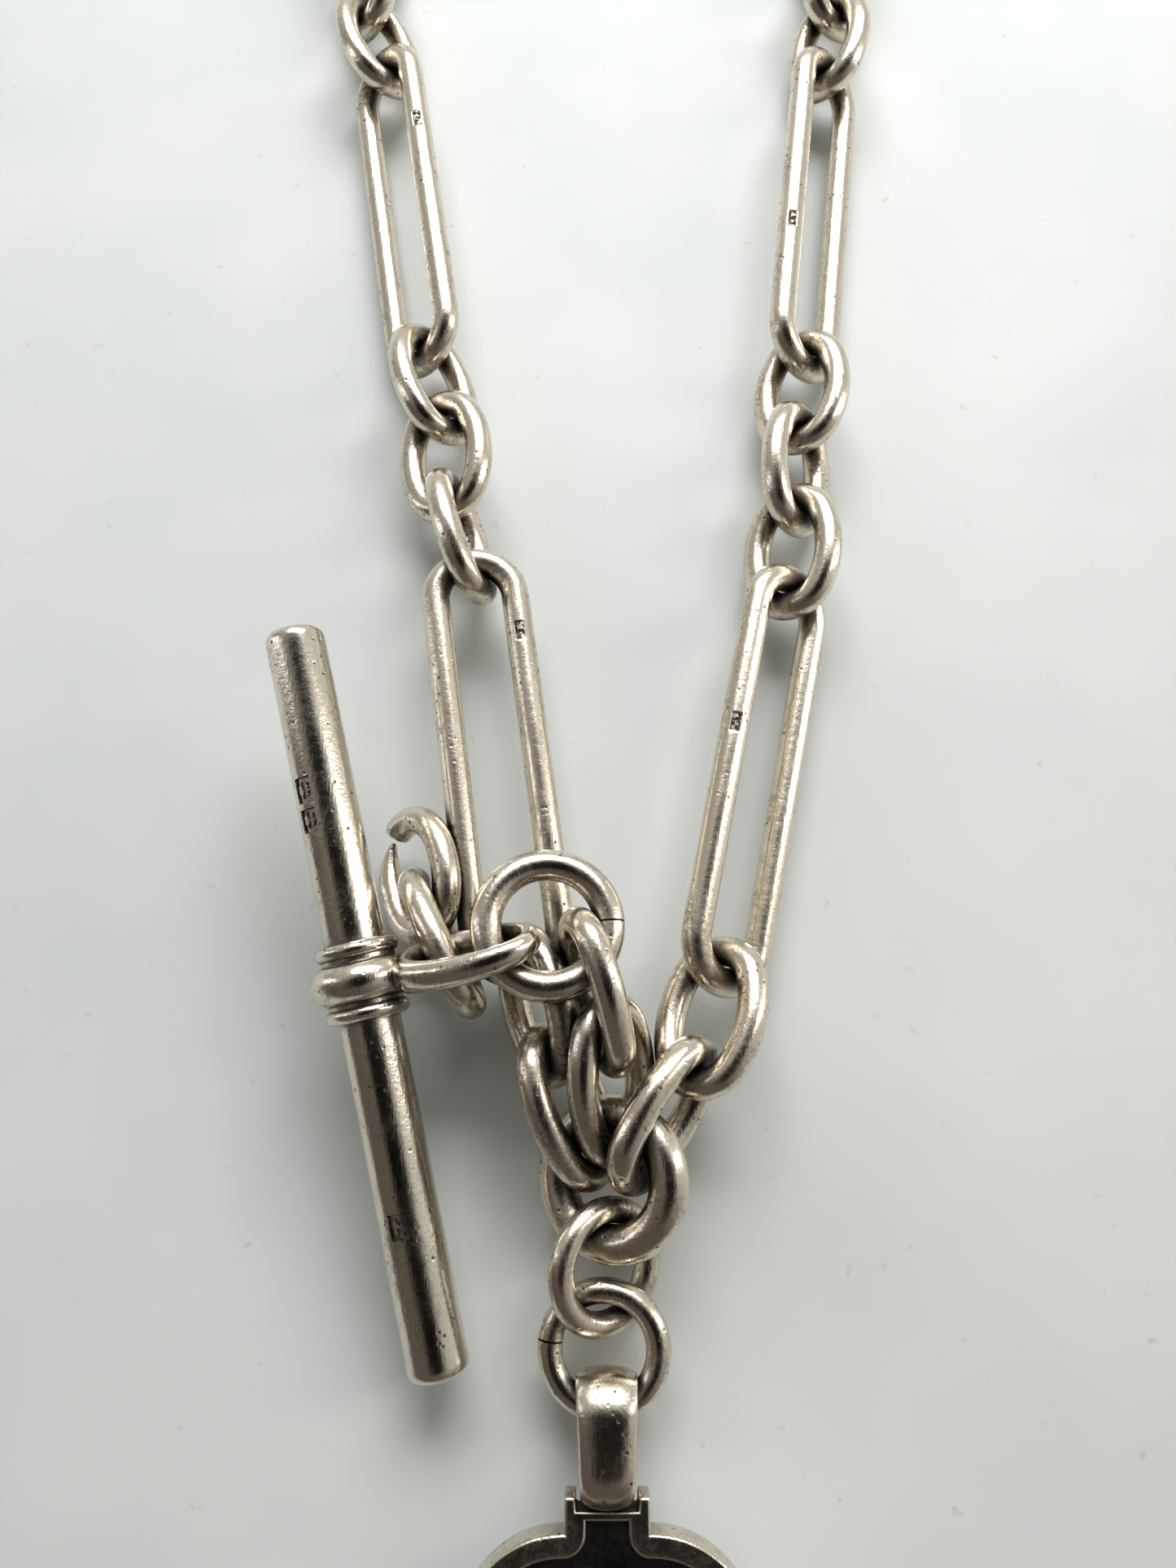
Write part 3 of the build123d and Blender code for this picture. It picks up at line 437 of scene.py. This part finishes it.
def open_link():
    """A link never closed again: the right limb is cut square, the left one is drawn out to a point."""
    centre, along, side = principal("open_link")
    place = frame_of(centre, side, along)
    half_length = (OPEN_LINK_LENGTH - OPEN_LINK_WIRE) / 2
    half_width = (OPEN_LINK_WIDTH - OPEN_LINK_WIRE) / 2
    stations = []
    for degrees in np.linspace(MOUTH[0], 360 + MOUTH[1], LINK_STEPS):
        angle = math.radians(degrees)
        x = math.copysign(abs(math.sin(angle)) ** 0.94, math.sin(angle))
        y = math.copysign(abs(math.cos(angle)) ** 0.94, math.cos(angle))
        left = 360 + MOUTH[1] - degrees
        slim = min(1.0, TIP + (1 - TIP) * (left / TAPER) ** 0.75)
        slim *= min(1.0, 0.93 + (degrees - MOUTH[0]) / 60)
        out = Vector((x / half_width, y / half_length, 0)).normalized()
        stations.append((Vector((half_width * x, half_length * y, 0)), out,
                         OPEN_LINK_WIRE / 2 * slim, OPEN_LINK_WIRE / 2 * slim))
    piece = keep(swept(stations, place, closed=False), "pointed_open_link", "open_link", LINK_SILVER)
    piece.modifiers.new("edges", "EDGE_SPLIT").split_angle = math.radians(50)


bail()
open_link()
struck_rod()
tapered_eye()
nodes["fob_rim"].modifiers.clear()
weld = nodes["fob_rim"].modifiers.new("weld", "WELD")
weld.merge_threshold = 0.001 * MM
crown = nodes["fob_rim"].modifiers.new("crown", "BEVEL")
crown.width = 0.42 * MM
crown.segments = 4
crown.limit_method = "ANGLE"
crown.angle_limit = math.radians(50)
nodes["fob_rim"].modifiers.new("edges", "EDGE_SPLIT").split_angle = math.radians(50)

# Makers struck every long link. Here each strike is a plain rectangle, given by its place along the link in
# millimetres and the side wire it is on.
LONG_LINK_RAIL = 2.67 * MM  # from a long link's middle to the middle of either side wire
STRIKE_SIZE = (1.5 * MM, 0.75 * MM)
STRIKES = {"left_long_link_3": (8.3, 1), "left_long_link_7": (5.5, 1),
           "right_long_link_3": (2.0, -1), "right_long_link_7": (-3.5, -1)}
for node, (step, hand) in STRIKES.items():
    centre, along, side = principal(node)
    spot = centre + along * step * MM + side * hand * LONG_LINK_RAIL
    strike = (spot, along, along.cross(Vector((0, 0, 1))).normalized(), *STRIKE_SIZE)
    dress(nodes[node], worn_silver("struck_" + node, POLISH, SULPHIDE_AND_SHADE, 0.55, 0.12, 0.8, strike))


# ---------------------------------------------------------------------------
# Table, light and camera
# ---------------------------------------------------------------------------
def table_top():
    mesh = bpy.data.meshes.new("table")
    shape = bmesh.new()
    bmesh.ops.create_grid(shape, x_segments=2, y_segments=2, size=1.2)
    shape.to_mesh(mesh)
    shape.free()
    table = bpy.data.objects.new("table", mesh)
    bpy.context.collection.objects.link(table)
    material, tree = blank("satin_white_laminate")
    place = add(tree, "ShaderNodeTexCoord").outputs["Object"]
    mottle = add(tree, "ShaderNodeTexNoise", inputs={"Vector": place, "Scale": 45.0, "Detail": 3.0})
    speck = add(tree, "ShaderNodeTexNoise", inputs={"Vector": place, "Scale": 1 / (1.4 * MM), "Detail": 2.0})
    shade = add(tree, "ShaderNodeMix", {"data_type": "RGBA"}, {
        "Factor": ramp(tree, mottle.outputs["Fac"], 0.3, 0.7),
        "A": from_hex("cfd3cf"), "B": from_hex("d9dcd8")})
    fleck = add(tree, "ShaderNodeMix", {"data_type": "RGBA"}, {
        "Factor": ramp(tree, speck.outputs["Fac"], 0.7, 0.78, 0.0, 0.25),
        "A": shade.outputs["Result"], "B": from_hex("8f8a82")})
    skin = add(tree, "ShaderNodeBsdfPrincipled", inputs={
        "Base Color": fleck.outputs["Result"], "Roughness": 0.55})
    add(tree, "ShaderNodeOutputMaterial", inputs={"Surface": skin.outputs["BSDF"]})
    table.data.materials.append(material)


def soft_light(name, place, aim, size, watts, colour):
    lamp = bpy.data.lights.new(name, "AREA")
    lamp.shape = "RECTANGLE"
    lamp.size, lamp.size_y = size
    lamp.energy = watts
    lamp.color = from_hex(colour)[:3]
    holder = bpy.data.objects.new(name, lamp)
    bpy.context.collection.objects.link(holder)
    holder.location = place
    holder.rotation_euler = (Vector(aim) - Vector(place)).to_track_quat("-Z", "Y").to_euler()


table_top()
ring_centre = middle("centre_ring")
soft_light("window", ring_centre + Vector((0.03, 0.30, 0.25)), ring_centre, (0.30, 0.18), 1.5, "fbfcff")
soft_light("side_window", ring_centre + Vector((0.40, 0.12, 0.16)), ring_centre, (0.08, 0.40), 0.6, "fff8ef")
soft_light("left_wall", ring_centre + Vector((-0.42, 0.10, 0.14)), ring_centre, (0.10, 0.40), 0.2, "f2f5ff")


def room():
    """Bright low down and towards the window, dark overhead where the room and the viewer are."""
    world = bpy.data.worlds.new("room")
    bpy.context.scene.world = world
    world.use_nodes = True
    tree = world.node_tree
    tree.nodes.clear()
    way = add(tree, "ShaderNodeTexCoord").outputs["Generated"]

    def facing(direction, low, high, dark, light):
        share = add(tree, "ShaderNodeVectorMath", {"operation": "DOT_PRODUCT"}, {
            0: way, 1: Vector(direction).normalized()}).outputs["Value"]
        return ramp(tree, share, low, high, dark, light)
    ceiling = facing((0.10, -0.16, 1.0), 0.78, 0.93, 1.15, 0.02)
    window_side = facing((0.5, 0.9, 0.0), -0.6, 0.45, 0.24, 1.0)
    glow = add(tree, "ShaderNodeMath", {"operation": "MULTIPLY"}, {0: ceiling, 1: window_side}).outputs[0]
    tint = add(tree, "ShaderNodeMix", {"data_type": "RGBA"}, {
        "Factor": window_side, "A": from_hex("cdb9ab"), "B": from_hex("f3f5f1")})
    light = add(tree, "ShaderNodeMath", {"operation": "MULTIPLY"}, {0: glow, 1: 0.62}).outputs[0]
    air = add(tree, "ShaderNodeBackground", inputs={"Color": tint.outputs["Result"], "Strength": light})
    add(tree, "ShaderNodeOutputWorld", inputs={"Surface": air.outputs["Background"]})


room()

# The camera leans 16.5 degrees from straight down, above the centre ring.
TILT = math.radians(16.5)
camera_data = bpy.data.cameras.new("camera")
camera_data.sensor_fit = "VERTICAL"
camera_data.sensor_height = 24.0
camera_data.lens = 17.44
camera_data.clip_start = 0.005
camera = bpy.data.objects.new("camera", camera_data)
bpy.context.collection.objects.link(camera)
camera.location = ring_centre + Vector((-1.4, 3.2, 70.2)) * MM
camera.rotation_euler = (TILT, 0, 0)
bpy.context.scene.camera = camera
bpy.context.scene.view_settings.view_transform = "Standard"
